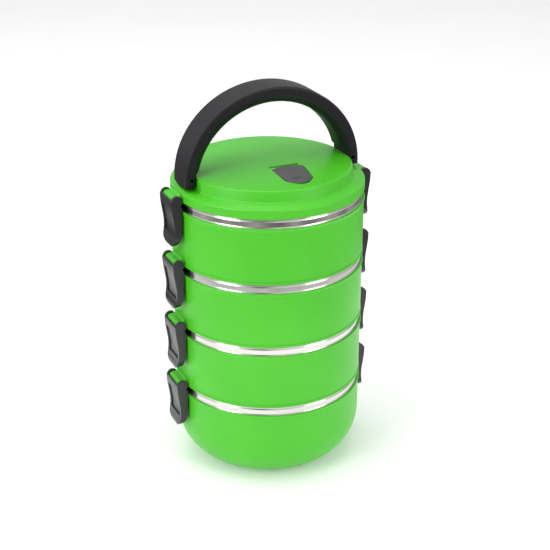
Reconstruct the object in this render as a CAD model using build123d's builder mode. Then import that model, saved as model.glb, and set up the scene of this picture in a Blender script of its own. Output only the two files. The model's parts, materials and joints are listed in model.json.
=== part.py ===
"""Four-tier stacking lunch carrier: plastic shells, steel bowls, toggle clips, arch handle.

Millimetres. +Z is up, the underside of the bottom tier is z = 0 and the stack's axis is X = Y = 0.
The clips and the ends of the handle lie along X, and the vent flap is towards -Y.
"""
from build123d import *
from math import cos, radians, sin, sqrt, tan
import os

# ---------------------------------------------------------------- driving dimensions
# stack
body_radius = 72.5          # outside of a tier's wall
lip_proud = 0.6             # rounded top lip of a shell, outside the wall
skirt_proud = 0.4           # bottom edge of a shell and rim of the lid, outside the wall
tier_pitch = 50.4           # rim of one tier to the rim of the next
base_height = 69.0          # floor to the rim of the bottom tier
band_height = 6.6           # steel that shows between two shells
shell_wall = 2.4
stack_gap = 0.4             # a tier's shoulder above the rim that carries it
joint_gap = 0.3             # between curved faces on different moving pieces
running_gap = 0.05          # radial play of a pin in its hole

# bottom tier
base_corner_radial = 33.0
base_corner_axial = 36.0
foot_ring_width = 8.5
foot_recess = 1.2

# steel bowls
band_inset = 1.1            # the steel band lies this far inside the wall's outside
rim_width = 5.8             # from the band's outside in to the bowl's inside
bowl_wall = 0.6
band_tuck = 2.4             # steel that goes on down behind the shell's lip
bowl_depth = 65.0
bowl_corner_radial = 30.0
bowl_corner_axial = 33.0
band_fit = 0.1              # between the band and the ledge behind the lip
lip_height = 2.6            # of the rounded part of the lip
lip_widest_drop = 0.9       # its widest circle, below its top
lip_flat = 0.7              # from the lip's widest circle in to its flat top
ledge_height = 4.0

# plug of each piece in the bowl under it
belly_wall = 2.0
plug_depth = 8.0
seal_width = 2.0
seal_height = 3.4
seal_round = 0.8
seal_drop = 2.6             # top of the seal below the rim

# lid
flange_height = 7.7
flange_inner_height = 9.9
flange_underside = 5.4
flange_round = 1.5
dome_inset = 7.9            # foot of the dome, inside the wall's outside
dome_lean = 2.4             # the dome's edge is this much narrower than its foot
dome_edge_height = 18.3
dome_top_height = 20.7
dome_side_wall = 3.6
dome_wall = 2.4
dome_foot_round = 0.8
lid_seat_height = 8.6       # flat on the flange under each end of the handle
dome_flat_cut = 1.2         # the dome's edge is cut flat by this much, beside each end of the handle
seat_half_width = 20.0
lift_facet = 1.35
lift_facet_length = 40.0
lift_facet_cutter = 6.0
liner_thickness = 2.0
liner_rim_width = 3.5
liner_fit = 0.1

# clips
hinge_offset = 4.3          # from the wall's outside out to the pin's axis
hinge_height = 2.0          # above the rim of the tier that the clip holds
ear_radius = 3.2
ear_half_width = 9.3
ear_fillet = 2.2
ear_toe = 2.4               # the ear's underside starts this far inside the pin's axis
ear_heel = 3.4              # and reaches the shoulder this far inside it
ear_root = 1.3              # depth that the ear is sunk in the wall
clip_half_width = 12.2
clip_wall = 1.0
cheek_radius = 4.2
clip_panel = 2.1
clip_recess = 0.9           # the panel lies this far below the edges of the cheeks
clip_recess_top_drop = 3.8
clip_recess_end_drop = 25.0
clip_neck_offset = 2.2      # outside of the panel where it is slimmest, from the pin's axis
clip_neck_drop = 21.0
clip_tail_offset = 3.3
clip_tail_drop = 29.5
clip_end_drop = 35.3
clip_inner_offset = 3.8     # from the pin's axis in to the inner edge of the cheeks
clip_nose_angle = 10.0      # how far the panel's top edge wraps over the ear
tail_round = 9.0
clip_pin_radius = 1.0
clip_pin_cover = 1.2        # plastic left outside the pin's end
keeper_reach = 1.2
keeper_root = 1.8           # depth that the keeper is sunk in the wall
keeper_top_drop = 19.0
keeper_height = 3.0
keeper_half_width = 7.0
catch_height = 3.4
catch_half_width = 6.0
catch_gap = 0.5

# handle
handle_inset = 2.8              # outside of the handle's arms, inside the wall's outside
handle_rise = 65.0
handle_centre_height = 13.6     # centre of the arch above the lid's joint
handle_half_width = 13.0
handle_depth_side = 10.7
handle_depth_top = 12.3
handle_edge_round = 1.4
handle_grip_round = 7.0
handle_underside_centre = 10.1  # centre of the arch's inner curve above the lid's joint
lug_neck_height = 21.0          # the arm's inner face is upright up to here
lug_step = 4.5
pivot_height = 14.0
swing_angle = 12.0
handle_pin_radius = 1.6
handle_pin_cover = 2.4          # plastic left outside the pin's end
handle_pin_grip = 6.0           # length of the pin that the lid holds
pin_boss_size = (10.0, 8.0)
cross_hole_radius = 1.3
cross_hole_depth = 3.0
cross_hole_height = 17.0
cross_hole_inset = 4.5          # from the outside of the arm

# vent
vent_thickness = 2.2
vent_floor_height = 17.6        # floor of the pocket above the lid's joint
vent_gap = 0.4
vent_hinge_y = -17.5
vent_pin_radius = 0.5
vent_pin_half_length = 12.2
vent_middle = (4.6, -36.0)      # middle of the flap
vent_hole_radius = 3.0
vent_plug_radius = 2.4
vent_plug_length = 2.0
vent_pad_size = (18.0, 22.6)    # half axes of the pad under the pocket
vent_back_length = 23.5         # of the pocket's straight back edge, behind the hinge
vent_clearance = 0.1            # under the flap
dimple_place = (3.2, -45.5)
dimple_radius = 14.0
dimple_depth = 0.8

# ---------------------------------------------------------------- derived sizes
tier_count = 4
lid_joint = base_height + (tier_count - 1) * tier_pitch
lip_radius = body_radius + lip_proud
skirt_radius = body_radius + skirt_proud
shell_inner = body_radius - shell_wall
band_radius = body_radius - band_inset
ledge_radius = band_radius + band_fit
bowl_inner_radius = band_radius - rim_width
bowl_outer_radius = bowl_inner_radius + bowl_wall
bowl_corner_x = bowl_outer_radius - bowl_corner_radial
seal_radius = bowl_inner_radius - joint_gap
plug_radius = seal_radius - seal_width
dome_base_radius = body_radius - dome_inset
dome_edge_radius = dome_base_radius - dome_lean
dome_inner_radius = dome_edge_radius - dome_side_wall
dome_flat = dome_edge_radius - dome_flat_cut
liner_rim_outer = shell_inner - liner_fit
liner_rim_inner = liner_rim_outer - liner_rim_width
hinge_x = body_radius + hinge_offset
clip_neck_x = hinge_x + clip_neck_offset
clip_tail_x = hinge_x + clip_tail_offset
clip_inner_x = hinge_x - clip_inner_offset
handle_half_span = body_radius - handle_inset
handle_pin_inner = dome_flat - handle_pin_grip
cross_hole_x = handle_half_span - cross_hole_inset
clip_nose = ear_radius + joint_gap + clip_wall
clip_cheek_gap = ear_half_width + joint_gap
crown_rise = dome_top_height - dome_edge_height
crown_radius = ((dome_edge_radius - 0.2) ** 2 + crown_rise ** 2) / (2 * crown_rise)
crown_inner = dome_inner_radius - 1.5
crown_inner_height = (lid_joint + dome_top_height - crown_radius
                      + sqrt((crown_radius - dome_wall) ** 2 - crown_inner ** 2))
seat = lid_joint + lid_seat_height
arm_inner = dome_flat + joint_gap
heel = pivot_height - lid_seat_height - joint_gap
vent_hinge_height = lid_joint + vent_floor_height + vent_clearance + vent_thickness / 2
vent_back = vent_hinge_y + vent_thickness / 2 + joint_gap


def rim_height(tier):
    """Height of a tier's rim; tier 1 is the top one and tier_count the bottom one."""
    return base_height + (tier_count - tier) * tier_pitch


def quarter_ring(centre_x, centre_z, radial, axial, wall):
    """Rounded corner of a cup: the lower outer quarter of an elliptical ring, in the current sketch."""
    with BuildSketch(mode=Mode.PRIVATE) as ring:
        with Locations((centre_x, centre_z)):
            Ellipse(radial, axial)
            Ellipse(radial - wall, axial - wall, mode=Mode.SUBTRACT)
            Rectangle(radial, axial, align=(Align.MIN, Align.MAX), mode=Mode.INTERSECT)
    add(ring.sketch)


def box_between(low_x, low_z, high_x, high_z, mode=Mode.ADD):
    """Rectangle given by its corners, in the current sketch."""
    with Locations((low_x, low_z)):
        Rectangle(high_x - low_x, high_z - low_z, align=(Align.MIN, Align.MIN), mode=mode)


def finish(piece, label):
    """Label a piece and write it to its own STEP file."""
    piece.part.label = label
    export_step(piece.part, f"parts/{label}.step")


# ---------------------------------------------------------------- shells of the tiers
def lip_profile(rim):
    """Wall top of a shell: the rounded lip, and the ledge behind it that the steel band stands on."""
    lip_top = rim - band_height
    ledge = lip_top - band_tuck
    lip_foot = lip_top - lip_height
    box_between(shell_inner, ledge - ledge_height, body_radius, ledge)
    box_between(ledge_radius, ledge, body_radius, lip_foot)
    with BuildLine() as lip:
        Polyline((ledge_radius, lip_top), (ledge_radius, lip_foot), (body_radius, lip_foot))
        Spline((body_radius, lip_foot), (lip_radius, lip_top - lip_widest_drop),
               (lip_radius - lip_flat, lip_top), tangents=((0, 1), (-1, 0)))
        Line((lip_radius - lip_flat, lip_top), (ledge_radius, lip_top))
    make_face(lip.edges())


def ear_profile(foot, wall_x):
    """Side view of the ear that a clip hangs from; the clip's pin runs through its round nose."""
    centre = (hinge_x, foot + hinge_height)
    top = centre[1] + ear_radius
    bottom = centre[1] - ear_radius
    with BuildLine() as ear:
        Line((wall_x, top + ear_fillet), (skirt_radius, top + ear_fillet))
        RadiusArc((skirt_radius, top + ear_fillet), (skirt_radius + ear_fillet, top), -ear_fillet)
        Line((skirt_radius + ear_fillet, top), (hinge_x, top))
        CenterArc(centre, ear_radius, 90, -180)
        Polyline((hinge_x, bottom), (hinge_x - ear_toe, bottom), (hinge_x - ear_heel, foot + stack_gap),
                 (wall_x, foot + stack_gap), (wall_x, top + ear_fillet))
    make_face(ear.edges())


def cross_pin(radius, x, z, half_length, mode=Mode.ADD):
    """Cylinder along Y: a clip's pin, or the hole for it."""
    with Locations(Location((x, 0, z), (90, 0, 0))):
        Cylinder(radius, 2 * half_length, mode=mode)


def vent_leaf(grow):
    """Outline of the vent flap, in the current sketch: a leaf that is straight along its hinge."""
    with BuildSketch(mode=Mode.PRIVATE) as leaf:
        with BuildLine() as edge:
            Polyline((-6.7, -20.6), (3.4, vent_hinge_y), (12.6, vent_hinge_y), (18.4, -22.6), (14.8, -47.0),
                     (4.0, -57.0), (-6.8, -47.0), (-6.7, -20.6))
        make_face(edge.edges())
        fillet(leaf.vertices().group_by(Axis.Y)[0], 7.0)
        fillet(leaf.vertices().filter_by(lambda corner: corner.Y > -24 and corner.X > 15), 4.0)
        fillet(leaf.vertices().filter_by(lambda corner: -47.5 < corner.Y < -46.5), 9.0)
        if grow:
            offset(amount=grow, kind=Kind.INTERSECTION)
            # room behind the hinge for the flap's back edge as it opens
            with Locations((-6.7 - grow, vent_back)):
                Rectangle(vent_back_length, 5.0, align=(Align.MIN, Align.MAX))
    add(leaf.sketch)


for tier in range(1, tier_count + 1):
    rim = rim_height(tier)
    is_base = tier == tier_count
    foot = 0.0 if is_base else rim_height(tier + 1)
    bowl_bottom = rim - bowl_depth
    bowl_centre_z = bowl_bottom + bowl_corner_axial

    with BuildPart() as shell:
        with BuildSketch(Plane.XZ):
            lip_profile(rim)
            if is_base:
                wall_foot = base_corner_axial
                corner_x = body_radius - base_corner_radial
                quarter_ring(corner_x, wall_foot, base_corner_radial, base_corner_axial, shell_wall)
                box_between(corner_x - foot_ring_width, 0, corner_x, shell_wall)
                box_between(0, foot_recess, corner_x - foot_ring_width, foot_recess + shell_wall)
            else:
                shoulder = foot + stack_gap
                wall_foot = shoulder
                belly_gap = joint_gap + belly_wall
                quarter_ring(bowl_corner_x, bowl_centre_z, bowl_corner_radial + belly_gap,
                             bowl_corner_axial + belly_gap, belly_wall)
                box_between(0, bowl_bottom - belly_gap, bowl_corner_x, bowl_bottom - joint_gap)
                box_between(0, shoulder + shell_wall, 2 * body_radius,
                            rim - band_height - band_tuck - ledge_height, mode=Mode.SUBTRACT)
                box_between(plug_radius - belly_wall, shoulder, body_radius, shoulder + shell_wall)
                box_between(plug_radius - belly_wall, foot - plug_depth, plug_radius, shoulder + shell_wall)
                box_between(body_radius - 1, shoulder + 0.4, skirt_radius, shoulder + 2.0)
                with Locations((bowl_corner_x, bowl_centre_z)):
                    Ellipse(bowl_corner_radial + joint_gap, bowl_corner_axial + joint_gap,
                            mode=Mode.SUBTRACT)
            box_between(shell_inner, wall_foot, body_radius, rim - band_height - band_tuck)
        revolve(axis=Axis.Z)
        # keepers that the clips of the piece above catch under
        for side in (-1, 1):
            with BuildSketch(Plane.XY.offset(rim - keeper_top_drop - keeper_height)):
                with Locations((side * (body_radius + keeper_reach / 2 - keeper_root / 2), 0)):
                    Rectangle(keeper_reach + keeper_root, 2 * keeper_half_width)
            extrude(amount=keeper_height)
        # ears for the tier's own clips, on every tier but the bottom one
        if not is_base:
            with BuildSketch(Plane.XZ.offset(-ear_half_width)):
                ear_profile(foot, body_radius - ear_root)
            extrude(amount=2 * ear_half_width)
            with BuildSketch(Plane.XZ.offset(-ear_half_width)):
                ear_profile(foot, body_radius - ear_root)
                mirror(about=Plane.YZ, mode=Mode.REPLACE)
            extrude(amount=2 * ear_half_width)
            for side in (-1, 1):
                cross_pin(clip_pin_radius, side * hinge_x, foot + hinge_height, ear_half_width + 1,
                          mode=Mode.SUBTRACT)
    finish(shell, f"tier_{tier}_shell")

    with BuildPart() as bowl:
        with BuildSketch(Plane.XZ):
            quarter_ring(bowl_corner_x, bowl_centre_z, bowl_corner_radial, bowl_corner_axial, bowl_wall)
            box_between(0, bowl_bottom, bowl_corner_x, bowl_bottom + bowl_wall)
            box_between(bowl_inner_radius, bowl_centre_z, bowl_outer_radius, rim)
            box_between(bowl_inner_radius, rim - bowl_wall, band_radius, rim)
            box_between(band_radius - bowl_wall, rim - band_height - band_tuck, band_radius, rim)
        revolve(axis=Axis.Z)
        fillet(bowl.edges().filter_by(GeomType.CIRCLE).group_by(Axis.Z)[-1], bowl_wall * 0.9)
    finish(bowl, f"tier_{tier}_bowl")

    if not is_base:
        with BuildPart() as seal:
            with BuildSketch(Plane.XZ):
                box_between(plug_radius, foot - seal_drop - seal_height, seal_radius, foot - seal_drop)
            revolve(axis=Axis.Z)
            fillet(seal.edges().filter_by(GeomType.CIRCLE).group_by(SortBy.RADIUS)[-1], seal_round)
        finish(seal, f"tier_{tier}_seal")

# ---------------------------------------------------------------- lid
with BuildPart() as lid_shell:
    with BuildSketch(Plane.XZ):
        with BuildLine():
            bottom = lid_joint + stack_gap
            Polyline((shell_inner, bottom), (skirt_radius - 0.5, bottom), (skirt_radius, bottom + 0.5),
                     (skirt_radius, lid_joint + flange_height - flange_round))
            RadiusArc((skirt_radius, lid_joint + flange_height - flange_round),
                      (skirt_radius - flange_round, lid_joint + flange_height), -flange_round)
            Polyline((skirt_radius - flange_round, lid_joint + flange_height),
                     (dome_base_radius + dome_foot_round, lid_joint + flange_inner_height),
                     (dome_base_radius, lid_joint + flange_inner_height + dome_foot_round),
                     (dome_edge_radius + 1.1, lid_joint + dome_edge_height - 1.3))
            RadiusArc((dome_edge_radius + 1.1, lid_joint + dome_edge_height - 1.3),
                      (dome_edge_radius - 0.2, lid_joint + dome_edge_height), -1.4)
            RadiusArc((dome_edge_radius - 0.2, lid_joint + dome_edge_height),
                      (0, lid_joint + dome_top_height), -crown_radius)
            Line((0, lid_joint + dome_top_height), (0, lid_joint + dome_top_height - dome_wall))
            RadiusArc((0, lid_joint + dome_top_height - dome_wall), (crown_inner, crown_inner_height),
                      crown_radius - dome_wall)
            Polyline((crown_inner, crown_inner_height),
                     (dome_inner_radius, lid_joint + dome_edge_height - dome_wall - 1.5),
                     (dome_inner_radius, lid_joint + flange_underside),
                     (shell_inner, lid_joint + flange_underside), (shell_inner, bottom))
        make_face()
    revolve(axis=Axis.Z)
    # pad under the vent's pocket
    with BuildSketch(Plane.XY.offset(lid_joint + vent_floor_height - 2.4)):
        with Locations(vent_middle):
            Ellipse(*vent_pad_size)
    extrude(amount=3.0)
    for side in (-1, 1):
        # boss inside the dome that holds the handle's pin
        with BuildSketch(Plane.YZ.offset(side * handle_pin_inner)):
            with Locations((0, lid_joint + pivot_height)):
                Rectangle(*pin_boss_size)
        extrude(amount=side * (dome_flat - 1 - handle_pin_inner))
        # flat on the dome and seat on the flange, beside each end of the handle
        with BuildSketch(Plane.XY.offset(seat)):
            with Locations((side * (dome_flat + 10), 0)):
                Rectangle(20, 2 * seat_half_width)
        extrude(amount=20, mode=Mode.SUBTRACT)
        with Locations(Location((side * dome_flat, 0, lid_joint + pivot_height), (0, 90, 0))):
            Cylinder(handle_pin_radius, 2 * (dome_flat - handle_pin_inner), mode=Mode.SUBTRACT)
        # ear for the clip
        with BuildSketch(Plane.XZ.offset(-ear_half_width)):
            ear_profile(lid_joint, body_radius - ear_root)
            if side < 0:
                mirror(about=Plane.YZ, mode=Mode.REPLACE)
        extrude(amount=2 * ear_half_width)
        cross_pin(clip_pin_radius, side * hinge_x, lid_joint + hinge_height, ear_half_width + 1,
                  mode=Mode.SUBTRACT)
    # pocket, air hole and hinge pin's hole for the vent flap
    with BuildSketch(Plane.XY.offset(lid_joint + vent_floor_height)):
        vent_leaf(vent_gap)
    extrude(amount=10, mode=Mode.SUBTRACT)
    with BuildSketch(Plane.XY.offset(lid_joint)):
        with Locations(vent_middle):
            Circle(vent_hole_radius)
    extrude(amount=30, mode=Mode.SUBTRACT)
    with Locations(Location((vent_middle[0], vent_hinge_y, vent_hinge_height), (0, 90, 0))):
        Cylinder(vent_pin_radius, 2 * vent_pin_half_length, mode=Mode.SUBTRACT)
    # facet on the front of the flange for lifting the lid
    cutter_offset = lift_facet_cutter / 2 / sqrt(2)
    with Locations(Location((1, -(skirt_radius - lift_facet / 2) - cutter_offset,
                             lid_joint + flange_height - lift_facet / 2 + cutter_offset), (45, 0, 0))):
        Box(lift_facet_length, lift_facet_cutter, lift_facet_cutter, mode=Mode.SUBTRACT)
finish(lid_shell, "lid_shell")

with BuildPart() as lid_liner:
    with BuildSketch(Plane.XZ):
        box_between(0, lid_joint + stack_gap, liner_rim_outer, lid_joint + stack_gap + liner_thickness)
        box_between(liner_rim_inner, lid_joint + stack_gap, liner_rim_outer, lid_joint + flange_underside)
        box_between(plug_radius - liner_thickness, lid_joint - plug_depth, plug_radius,
                    lid_joint + stack_gap + liner_thickness)
    revolve(axis=Axis.Z)
    with BuildSketch(Plane.XY.offset(lid_joint)):
        with Locations(vent_middle):
            Circle(vent_hole_radius + 1)
    extrude(amount=10, mode=Mode.SUBTRACT)
finish(lid_liner, "lid_liner")

with BuildPart() as lid_seal:
    with BuildSketch(Plane.XZ):
        box_between(plug_radius, lid_joint - seal_drop - seal_height, seal_radius, lid_joint - seal_drop)
    revolve(axis=Axis.Z)
    fillet(lid_seal.edges().filter_by(GeomType.CIRCLE).group_by(SortBy.RADIUS)[-1], seal_round)
finish(lid_seal, "lid_seal")

with BuildPart() as vent_flap:
    with BuildSketch(Plane.XY.offset(lid_joint + vent_floor_height + vent_clearance)):
        vent_leaf(0)
    extrude(amount=vent_thickness)
    chamfer(vent_flap.faces().sort_by(Axis.Z)[-1].edges().filter_by(Axis.X, reverse=True), 0.4)
    with BuildSketch(Plane.XY.offset(lid_joint + vent_floor_height + 0.3)):
        with Locations(vent_middle):
            Circle(vent_plug_radius)
    extrude(amount=-vent_plug_length - 0.2)
    with Locations((dimple_place[0], dimple_place[1],
                    vent_hinge_height + vent_thickness / 2 + dimple_radius - dimple_depth)):
        Sphere(dimple_radius, mode=Mode.SUBTRACT)
    # round back edge, on the hinge pin
    with Locations(Location((8.0, vent_hinge_y, vent_hinge_height), (0, 90, 0))):
        Cylinder(vent_thickness / 2, 9.2)
        Cylinder(vent_pin_radius + running_gap, 30, mode=Mode.SUBTRACT)
finish(vent_flap, "vent_flap")

with BuildPart() as vent_pin:
    with Locations(Location((vent_middle[0], vent_hinge_y, vent_hinge_height), (0, 90, 0))):
        Cylinder(vent_pin_radius, 2 * vent_pin_half_length)
finish(vent_pin, "vent_pin")


# ---------------------------------------------------------------- toggle clips
def clip_side(rim, inner):
    """Side view of a clip: its outside down to the tail, closed along the inner edge given."""
    pivot = (hinge_x, rim + hinge_height)
    nose_x = hinge_x + clip_nose
    end_x = clip_tail_x - 1.0
    with BuildLine() as side:
        CenterArc(pivot, clip_nose, 0, clip_nose_angle)
        Spline((nose_x, pivot[1]), (clip_neck_x, rim - clip_neck_drop), (clip_tail_x, rim - clip_tail_drop),
               tangents=((0, -1), (0.3, -1)))
        Spline((clip_tail_x, rim - clip_tail_drop), (end_x, rim - clip_end_drop),
               tangents=((0.3, -1), (-1, -0.2)))
        nose_end = (pivot[0] + clip_nose * cos(radians(clip_nose_angle)),
                    pivot[1] + clip_nose * sin(radians(clip_nose_angle)))
        Polyline((end_x, rim - clip_end_drop), *inner, nose_end)
    make_face(side.edges())


def clip(rim, side):
    """A clip hung at one side of the stack, resting a little short of closed."""
    flip = side < 0
    pivot_z = rim + hinge_height
    bar = ear_radius + joint_gap
    with BuildPart() as piece:
        # cheeks and panel as one block
        with BuildSketch(Plane.XZ.offset(-clip_half_width)):
            clip_side(rim, [(clip_tail_x - 2.6, rim - clip_end_drop), (clip_inner_x + 0.4, rim - 24.0),
                            (clip_inner_x, rim - 3.0), (hinge_x, pivot_z)])
            with Locations((hinge_x, pivot_z)):
                Circle(cheek_radius)
            if flip:
                mirror(about=Plane.YZ, mode=Mode.REPLACE)
        extrude(amount=2 * clip_half_width)
        # room between the cheeks for the ear
        with BuildSketch(Plane.XZ.offset(-clip_cheek_gap)):
            with BuildLine() as room:
                top = (hinge_x + bar * cos(radians(clip_nose_angle)),
                       pivot_z + bar * sin(radians(clip_nose_angle)))
                CenterArc((hinge_x, pivot_z), bar, 0, clip_nose_angle)
                Spline((hinge_x + bar, pivot_z), (clip_neck_x - clip_panel, rim - clip_neck_drop),
                       (clip_tail_x - clip_panel - 0.4, rim - clip_tail_drop), tangents=((0, -1), (0.3, -1)))
                Polyline((clip_tail_x - clip_panel - 0.4, rim - clip_tail_drop),
                         (clip_tail_x - clip_panel - 1.2, rim - clip_end_drop - 1),
                         (clip_inner_x - 4, rim - clip_end_drop - 1), (clip_inner_x - 4, rim + 12),
                         (top[0] + 4, rim + 12), top)
            make_face(room.edges())
            if flip:
                mirror(about=Plane.YZ, mode=Mode.REPLACE)
        extrude(amount=2 * clip_cheek_gap, mode=Mode.SUBTRACT)
        # outside of the panel, sunk between the cheeks
        with BuildSketch(Plane.XZ.offset(-clip_cheek_gap)):
            with BuildLine() as sunk:
                Spline((hinge_x + clip_nose - clip_recess, pivot_z),
                       (clip_neck_x - clip_recess, rim - clip_neck_drop),
                       (clip_tail_x - clip_recess, rim - clip_tail_drop), tangents=((0, -1), (0.3, -1)))
                Polyline((clip_tail_x - clip_recess, rim - clip_tail_drop),
                         (clip_tail_x + 5, rim - clip_tail_drop),
                         (clip_tail_x + 5, pivot_z), (hinge_x + clip_nose - clip_recess, pivot_z))
            make_face(sunk.edges())
            with Locations((hinge_x, rim - clip_recess_top_drop)):
                Rectangle(40, 100, align=(Align.CENTER, Align.MIN), mode=Mode.SUBTRACT)
            with Locations((hinge_x, rim - clip_recess_end_drop)):
                Rectangle(40, 100, align=(Align.CENTER, Align.MAX), mode=Mode.SUBTRACT)
            if flip:
                mirror(about=Plane.YZ, mode=Mode.REPLACE)
        extrude(amount=2 * clip_cheek_gap, mode=Mode.SUBTRACT)
        # catch that closes under the keeper
        catch_top = rim - keeper_top_drop - keeper_height - catch_gap
        catch_tip = body_radius + keeper_reach + joint_gap
        catch_reach = clip_neck_x - clip_panel / 2 - catch_tip
        with Locations((side * (catch_tip + catch_reach / 2), 0, catch_top - catch_height / 2)):
            Box(catch_reach, 2 * catch_half_width, catch_height)
        # round end of the tail
        with BuildSketch(Plane.YZ):
            with Locations((0, rim - clip_end_drop + tail_round)):
                Ellipse(clip_half_width, tail_round)
                Rectangle(2 * clip_half_width, 60, align=(Align.CENTER, Align.MIN))
        extrude(amount=side * 100, mode=Mode.INTERSECT)
        # hole for the pin
        cross_pin(clip_pin_radius + running_gap, side * hinge_x, pivot_z,
                  clip_half_width - clip_pin_cover + running_gap, mode=Mode.SUBTRACT)
    return piece


for owner, rim in [("lid", lid_joint)] + [(f"tier_{n}", rim_height(n + 1)) for n in range(1, tier_count)]:
    for side, name in ((-1, "left"), (1, "right")):
        finish(clip(rim, side), f"{owner}_clip_{name}")
        with BuildPart() as clip_pin:
            cross_pin(clip_pin_radius, side * hinge_x, rim + hinge_height, clip_half_width - clip_pin_cover)
        finish(clip_pin, f"{owner}_clip_pin_{name}")

# ---------------------------------------------------------------- handle
arch_centre = lid_joint + handle_centre_height
under_centre = lid_joint + handle_underside_centre
under_half_span = handle_half_span - handle_depth_side
under_rise = handle_centre_height + handle_rise - handle_depth_top - handle_underside_centre
lug_neck = lid_joint + lug_neck_height
heel_lean = radians(swing_angle)
heel_tangent = (heel * sin(heel_lean), -heel * cos(heel_lean))
heel_edge = (handle_half_width + 1,
             heel_tangent[1] + (handle_half_width + 1 - heel_tangent[0]) * tan(heel_lean))
pivot_z = lid_joint + pivot_height
with BuildPart() as handle:
    with BuildSketch(Plane.XZ.offset(-handle_half_width)):
        with Locations((0, arch_centre)):
            Ellipse(handle_half_span, handle_rise)
            Rectangle(2 * handle_half_span, handle_centre_height, align=(Align.CENTER, Align.MAX))
        box_between(-handle_half_span, 0, handle_half_span, seat + joint_gap, mode=Mode.SUBTRACT)
        with Locations((0, under_centre)):
            Ellipse(under_half_span, under_rise, mode=Mode.SUBTRACT)
        with BuildLine():
            Polyline((arm_inner, seat), (arm_inner, lug_neck), (arm_inner - lug_step, lug_neck + lug_step),
                     (lug_step - arm_inner, lug_neck + lug_step), (-arm_inner, lug_neck), (-arm_inner, seat),
                     (arm_inner, seat))
        make_face(mode=Mode.SUBTRACT)
    extrude(amount=2 * handle_half_width)
    arches = handle.edges().filter_by(GeomType.ELLIPSE).group_by(SortBy.LENGTH)
    arms = handle.edges().filter_by(Axis.Z).filter_by(lambda edge: abs(edge.center().X) > arm_inner + 1)
    fillet(arches[-1] + arms, handle_edge_round)
    under = handle.edges().filter_by(lambda edge: abs(edge.center().Y) > handle_half_width - 0.01)
    under = under.filter_by(GeomType.ELLIPSE).group_by(SortBy.LENGTH)[0]
    fillet(under, handle_grip_round)
    # heels that meet the lid's seats at the ends of the swing
    with BuildSketch(Plane.YZ.offset(-100)):
        with Locations((0, pivot_z)):
            Rectangle(40, 40, align=(Align.CENTER, Align.MAX))
            Circle(heel, mode=Mode.SUBTRACT)
        with BuildLine():
            Polyline((heel_edge[0], pivot_z), (heel_edge[0], pivot_z + heel_edge[1]),
                     (heel_tangent[0], pivot_z + heel_tangent[1]),
                     (-heel_tangent[0], pivot_z + heel_tangent[1]),
                     (-heel_edge[0], pivot_z + heel_edge[1]), (-heel_edge[0], pivot_z),
                     (heel_edge[0], pivot_z))
        make_face(mode=Mode.SUBTRACT)
    extrude(amount=200, mode=Mode.SUBTRACT)
    for side in (-1, 1):
        # hole for the pivot pin, open towards the dome
        pin_end = handle_half_span - handle_pin_cover + 0.1
        with Locations(Location((side * (pin_end + dome_flat) / 2, 0, pivot_z), (0, 90, 0))):
            Cylinder(handle_pin_radius + running_gap, pin_end - dome_flat, mode=Mode.SUBTRACT)
        # small blind holes across the front and back of the arm
        for face in (-1, 1):
            with Locations(Location((side * cross_hole_x, face * handle_half_width,
                                     lid_joint + cross_hole_height), (90, 0, 0))):
                Cylinder(cross_hole_radius, 2 * cross_hole_depth, mode=Mode.SUBTRACT)
finish(handle, "handle")

for side, name in ((-1, "left"), (1, "right")):
    pin_length = handle_half_span - handle_pin_cover - handle_pin_inner
    with BuildPart() as handle_pin:
        with Locations(Location((side * (handle_pin_inner + pin_length / 2), 0, pivot_z), (0, 90, 0))):
            Cylinder(handle_pin_radius, pin_length)
    finish(handle_pin, f"handle_pin_{name}")
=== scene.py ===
"""Studio scene for the stacking lunch carrier. Metres, in the CAD frame."""
import json
import math

import bpy
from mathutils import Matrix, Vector


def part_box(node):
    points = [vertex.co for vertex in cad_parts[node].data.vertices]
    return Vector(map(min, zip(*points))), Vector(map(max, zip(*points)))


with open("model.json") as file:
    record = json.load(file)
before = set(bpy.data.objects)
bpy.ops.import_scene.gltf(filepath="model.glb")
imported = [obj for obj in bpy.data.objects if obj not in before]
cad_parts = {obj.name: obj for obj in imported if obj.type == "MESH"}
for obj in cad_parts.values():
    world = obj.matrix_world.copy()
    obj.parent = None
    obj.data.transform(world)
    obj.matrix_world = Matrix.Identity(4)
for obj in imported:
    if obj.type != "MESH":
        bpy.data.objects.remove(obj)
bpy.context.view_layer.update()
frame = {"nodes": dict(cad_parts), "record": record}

rims = [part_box(f"tier_{tier}_bowl")[1][2] for tier in (1, 2)]
TOP_RIM = rims[0]
TIER_PITCH = rims[0] - rims[1]
UPPER_BEAD = (0.0009, 0.0021)       # where the band's edges start and end to roll, below its rim
LOWER_BEAD = (0.0056, 0.0066)
BEAD_HEIGHT = 0.0005
BEVEL_SAMPLES = 6


# ---------------------------------------------------------------- shader nodes
def new_material(name):
    """Material whose surface is one Principled shader."""
    material = bpy.data.materials.new(name)
    material.use_nodes = True
    tree = material.node_tree
    tree.nodes.clear()
    out = tree.nodes.new("ShaderNodeOutputMaterial")
    shader = tree.nodes.new("ShaderNodeBsdfPrincipled")
    tree.links.new(shader.outputs["BSDF"], out.inputs["Surface"])
    return material, tree, shader


def add_noise(tree, coords, scale, detail=3.0, roughness=0.5):
    """Noise from 0 to 1, mostly between 0.3 and 0.7."""
    noise = tree.nodes.new("ShaderNodeTexNoise")
    noise.inputs["Scale"].default_value = scale
    noise.inputs["Detail"].default_value = detail
    noise.inputs["Roughness"].default_value = roughness
    tree.links.new(coords, noise.inputs["Vector"])
    return noise.outputs["Fac"]


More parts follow.
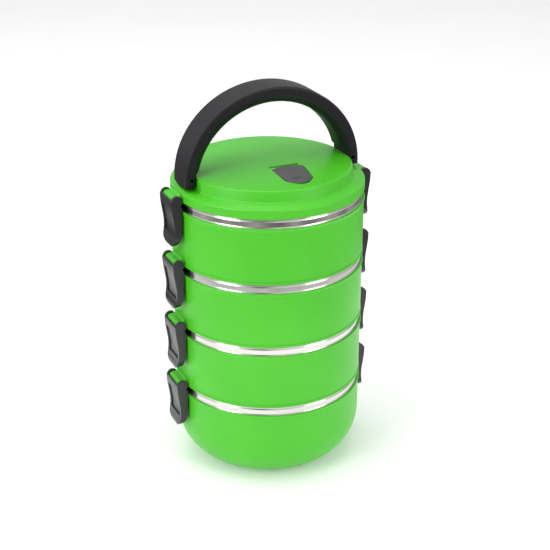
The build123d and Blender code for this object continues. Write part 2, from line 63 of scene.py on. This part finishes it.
def remap(tree, value, low, high, from_low=0.3, from_high=0.7):
    """Value stretched from one range to another and held inside it."""
    node = tree.nodes.new("ShaderNodeMapRange")
    node.inputs["From Min"].default_value = from_low
    node.inputs["From Max"].default_value = from_high
    node.inputs["To Min"].default_value = low
    node.inputs["To Max"].default_value = high
    tree.links.new(value, node.inputs["Value"])
    return node.outputs["Result"]


def mix_colour(tree, factor, first, second):
    node = tree.nodes.new("ShaderNodeMix")
    node.data_type = "RGBA"
    node.inputs["A"].default_value = (*first, 1)
    node.inputs["B"].default_value = (*second, 1)
    tree.links.new(factor, node.inputs["Factor"])
    return node.outputs["Result"]


def add_bump(tree, height, strength, distance, normal=None):
    bump = tree.nodes.new("ShaderNodeBump")
    bump.inputs["Strength"].default_value = strength
    bump.inputs["Distance"].default_value = distance
    tree.links.new(height, bump.inputs["Height"])
    if normal is not None:
        tree.links.new(normal, bump.inputs["Normal"])
    return bump.outputs["Normal"]


def soft_edges(tree, radius):
    """Normal that is rounded over sharp edges."""
    bevel = tree.nodes.new("ShaderNodeBevel")
    bevel.samples = BEVEL_SAMPLES
    bevel.inputs["Radius"].default_value = radius
    return bevel.outputs["Normal"]


# ---------------------------------------------------------------- materials
def moulded_plastic(name, dark, light, rough, grain_scale, grain_height, edge, ior=1.5, haze=0.04):
    """Injection-moulded plastic: slight colour drift, moulded grain, faint handling haze."""
    material, tree, shader = new_material(name)
    coords = tree.nodes.new("ShaderNodeTexCoord").outputs["Object"]
    drift = remap(tree, add_noise(tree, coords, 16.0, 4.0), 0.0, 1.0)
    tree.links.new(mix_colour(tree, drift, dark, light), shader.inputs["Base Color"])
    handling = add_noise(tree, coords, 60.0, 5.0, 0.62)
    tree.links.new(remap(tree, handling, rough - haze, rough + haze), shader.inputs["Roughness"])
    grain = add_noise(tree, coords, grain_scale, 2.0, 0.55)
    waviness = add_noise(tree, coords, 22.0, 1.0)
    normal = add_bump(tree, waviness, 0.18, 0.0006, soft_edges(tree, edge))
    normal = add_bump(tree, grain, 0.35, grain_height, normal)
    tree.links.new(normal, shader.inputs["Normal"])
    shader.inputs["IOR"].default_value = ior
    return material, shader


BLACK_TONES = (0.0052, 0.0046, 0.0068), (0.0080, 0.0072, 0.0100)

green, green_shader = moulded_plastic(
    "green_plastic", (0.058, 0.475, 0.009), (0.069, 0.525, 0.014),
    rough=0.36, grain_scale=1500.0, grain_height=0.00003, edge=0.00045)
green_shader.inputs["Subsurface Weight"].default_value = 0.06
green_shader.inputs["Subsurface Radius"].default_value = (0.4, 1.0, 0.2)
green_shader.inputs["Subsurface Scale"].default_value = 0.0015

black, _ = moulded_plastic(
    "black_plastic", *BLACK_TONES,
    rough=0.42, grain_scale=2400.0, grain_height=0.00008, edge=0.0004, ior=1.38)
clip_black, _ = moulded_plastic(
    "clip_plastic", *BLACK_TONES,
    rough=0.30, grain_scale=2400.0, grain_height=0.00005, edge=0.0004, ior=1.62)
grey, _ = moulded_plastic(
    "grey_plastic", (0.052, 0.053, 0.054), (0.066, 0.067, 0.068),
    rough=0.42, grain_scale=2400.0, grain_height=0.00005, edge=0.0003)
liner, _ = moulded_plastic(
    "liner_plastic", (0.70, 0.71, 0.66), (0.76, 0.77, 0.72),
    rough=0.45, grain_scale=1600.0, grain_height=0.00004, edge=0.0003)
rubber, rubber_shader = moulded_plastic(
    "seal_rubber", (0.62, 0.63, 0.59), (0.68, 0.69, 0.65),
    rough=0.55, grain_scale=1800.0, grain_height=0.00004, edge=0.0003)
rubber_shader.inputs["Subsurface Weight"].default_value = 0.3
rubber_shader.inputs["Subsurface Scale"].default_value = 0.002


def rolled_edges(tree, height_above_floor):
    """Height of the soft beads along the top and bottom edges of each steel band."""
    below = tree.nodes.new("ShaderNodeMath")
    below.operation = "SUBTRACT"
    below.inputs[0].default_value = TOP_RIM
    tree.links.new(height_above_floor, below.inputs[1])
    place = tree.nodes.new("ShaderNodeMath")
    place.operation = "FLOORED_MODULO"
    place.inputs[1].default_value = TIER_PITCH
    tree.links.new(below.outputs["Value"], place.inputs[0])
    upper = remap(tree, place.outputs["Value"], 0.0, BEAD_HEIGHT, *UPPER_BEAD)
    lower = remap(tree, place.outputs["Value"], 0.0, BEAD_HEIGHT, *LOWER_BEAD)
    both = tree.nodes.new("ShaderNodeMath")
    tree.links.new(upper, both.inputs[0])
    tree.links.new(lower, both.inputs[1])
    return both.outputs["Value"]


def turned_steel(name, rough, line_scale, line_height, banded=False):
    """Stainless steel with fine lines that run round the stack's axis."""
    material, tree, shader = new_material(name)
    shader.inputs["Metallic"].default_value = 1.0
    coords = tree.nodes.new("ShaderNodeTexCoord").outputs["Object"]
    split = tree.nodes.new("ShaderNodeSeparateXYZ")
    tree.links.new(coords, split.inputs["Vector"])
    # coordinates that hold the distance from the axis and the height, so that the lines run round
    radius = tree.nodes.new("ShaderNodeVectorMath")
    radius.operation = "LENGTH"
    flat = tree.nodes.new("ShaderNodeCombineXYZ")
    tree.links.new(split.outputs["X"], flat.inputs["X"])
    tree.links.new(split.outputs["Y"], flat.inputs["Y"])
    tree.links.new(flat.outputs["Vector"], radius.inputs[0])
    lathe = tree.nodes.new("ShaderNodeCombineXYZ")
    tree.links.new(radius.outputs["Value"], lathe.inputs["X"])
    tree.links.new(split.outputs["Z"], lathe.inputs["Z"])
    lines = add_noise(tree, lathe.outputs["Vector"], line_scale, 4.0, 0.7)
    cloud = add_noise(tree, coords, 35.0, 3.0)
    tone = mix_colour(tree, remap(tree, cloud, 0.0, 1.0), (0.66, 0.65, 0.61), (0.74, 0.73, 0.69))
    tree.links.new(tone, shader.inputs["Base Color"])
    tree.links.new(remap(tree, lines, rough - 0.05, rough + 0.08), shader.inputs["Roughness"])
    normal = add_bump(tree, lines, 0.25, line_height, soft_edges(tree, 0.0003))
    if banded:
        normal = add_bump(tree, rolled_edges(tree, split.outputs["Z"]), 1.0, 1.0, normal)
    tree.links.new(normal, shader.inputs["Normal"])
    return material


steel = turned_steel("bowl_steel", 0.16, 2600.0, 0.00003, banded=True)
pin_steel = turned_steel("pin_steel", 0.24, 3800.0, 0.00002)

finishes = {"plastic_green": green, "plastic_black": black, "plastic_grey": grey,
            "plastic_liner": liner, "seal_rubber": rubber, "steel_bowl": steel, "steel_pin": pin_steel}
for entry in frame["record"]["subparts"]:
    node = frame["nodes"][entry["node"]]
    node.data.materials.clear()
    is_clip = entry["node"].endswith(("_clip_left", "_clip_right"))
    node.data.materials.append(clip_black if is_clip else finishes[entry["material_slot"]])

# ---------------------------------------------------------------- floor
FLOOR_SIZE = 8.0
PAPER_EDGE = 0.36           # the object mirrors white paper up to here,
PAPER_BLUR = 0.10           # and a painted dark room from this much further out, seen only in reflections
bpy.ops.mesh.primitive_plane_add(size=FLOOR_SIZE, location=(0, 0, 0))
floor = bpy.context.object
floor.name = "floor"
floor_material, floor_tree, floor_shader = new_material("floor_paper")
floor_coords = floor_tree.nodes.new("ShaderNodeTexCoord").outputs["Object"]
paper = add_noise(floor_tree, floor_coords, 8.0, 4.0)
paper_colour = mix_colour(floor_tree, remap(floor_tree, paper, 0.0, 1.0), (0.95,) * 3, (0.97,) * 3)
reach = floor_tree.nodes.new("ShaderNodeVectorMath")
reach.operation = "LENGTH"
floor_tree.links.new(floor_coords, reach.inputs[0])
beyond = remap(floor_tree, reach.outputs["Value"], 0.0, 1.0, PAPER_EDGE, PAPER_EDGE + PAPER_BLUR)
# painted reflection: past the paper edge the floor is coloured dark grey for glossy rays only, so shiny parts
# mirror a painted dark room
painted_reflection_mask = floor_tree.nodes.new("ShaderNodeMath")
painted_reflection_mask.operation = "MULTIPLY"
floor_tree.links.new(beyond, painted_reflection_mask.inputs[0])
floor_tree.links.new(floor_tree.nodes.new("ShaderNodeLightPath").outputs["Is Glossy Ray"], painted_reflection_mask.inputs[1])
painted_reflection_mix = floor_tree.nodes.new("ShaderNodeMix")
painted_reflection_mix.data_type = "RGBA"
floor_tree.links.new(painted_reflection_mask.outputs["Value"], painted_reflection_mix.inputs["Factor"])
floor_tree.links.new(paper_colour, painted_reflection_mix.inputs["A"])
# painted reflection: noise varies the grey of the painted dark room
painted_reflection_noise = remap(floor_tree, add_noise(floor_tree, floor_coords, 3.2, 2.0), 0.0, 1.0, 0.40, 0.60)
painted_reflection_colour = mix_colour(floor_tree, painted_reflection_noise, (0.025, 0.023, 0.027), (0.30, 0.29, 0.28))
floor_tree.links.new(painted_reflection_colour, painted_reflection_mix.inputs["B"])
floor_tree.links.new(painted_reflection_mix.outputs["Result"], floor_shader.inputs["Base Color"])
floor_shader.inputs["Roughness"].default_value = 0.9
floor_shader.inputs["Specular IOR Level"].default_value = 0.1
floor_shader.inputs["Emission Color"].default_value = (1, 1, 1, 1)
floor_shader.inputs["Emission Strength"].default_value = 0.10
floor.data.materials.append(floor_material)

# ---------------------------------------------------------------- studio light
world = bpy.data.worlds.new("studio")
bpy.context.scene.world = world
world.use_nodes = True
world_tree = world.node_tree
background = world_tree.nodes["Background"]
world_coords = world_tree.nodes.new("ShaderNodeTexCoord").outputs["Generated"]
world_split = world_tree.nodes.new("ShaderNodeSeparateXYZ")
world_tree.links.new(world_coords, world_split.inputs["Vector"])
bearing = world_tree.nodes.new("ShaderNodeMath")
bearing.operation = "ARCTAN2"
world_tree.links.new(world_split.outputs["Y"], bearing.inputs[0])
world_tree.links.new(world_split.outputs["X"], bearing.inputs[1])
turn = remap(world_tree, bearing.outputs["Value"], 0.0, 1.0, -math.pi, math.pi)
walls = world_tree.nodes.new("ShaderNodeValToRGB")
walls.color_ramp.interpolation = "EASE"
world_tree.links.new(turn, walls.inputs["Fac"])
# share of a full turn, from -X through -Y, and the grey of the walls there
WALL_TONES = ((0.0, 0.9), (0.10, 0.85), (0.16, 0.25), (0.22, 0.95), (0.30, 1.0), (0.40, 0.8), (0.55, 0.7),
              (0.75, 0.8), (0.9, 0.9), (1.0, 0.9))
ramp = walls.color_ramp.elements
for place, _ in WALL_TONES[1:-1]:
    ramp.new(place)
for stop, (place, tone) in zip(ramp, WALL_TONES):
    stop.position = place
    stop.color = (tone, tone, tone, 1)
world_tree.links.new(walls.outputs["Color"], background.inputs["Color"])
background.inputs["Strength"].default_value = 0.82


def area_light(name, place, aim, size, power):
    data = bpy.data.lights.new(name, "AREA")
    data.shape = "RECTANGLE"
    data.size, data.size_y = size
    data.energy = power
    light = bpy.data.objects.new(name, data)
    bpy.context.scene.collection.objects.link(light)
    light.location = place
    light.rotation_euler = (Vector(aim) - Vector(place)).to_track_quat("-Z", "Y").to_euler()


middle = (0.0, 0.0, 0.15)
area_light("overhead_softbox", (-0.2, 0.2, 1.7), middle, (1.6, 1.6), 14.0)
area_light("left_softbox", (-1.5, -0.5, 0.9), middle, (0.7, 1.3), 12.0)
area_light("right_softbox", (0.9, -1.3, 0.8), middle, (0.7, 1.2), 7.0)

# ---------------------------------------------------------------- camera
camera_data = bpy.data.cameras.new("camera")
camera = bpy.data.objects.new("camera", camera_data)
bpy.context.scene.collection.objects.link(camera)
camera_place = Vector((-0.3612, -0.8037, 0.5434))
camera_aim = Vector((0.0, 0.0, 0.1460))
camera.location = camera_place
camera.rotation_euler = (camera_aim - camera_place).to_track_quat("-Z", "Y").to_euler()
camera_data.sensor_width = 36.0
camera_data.lens = 81.58
camera_data.shift_x = 0.0136
bpy.context.scene.camera = camera
bpy.context.scene.view_settings.view_transform = "Standard"
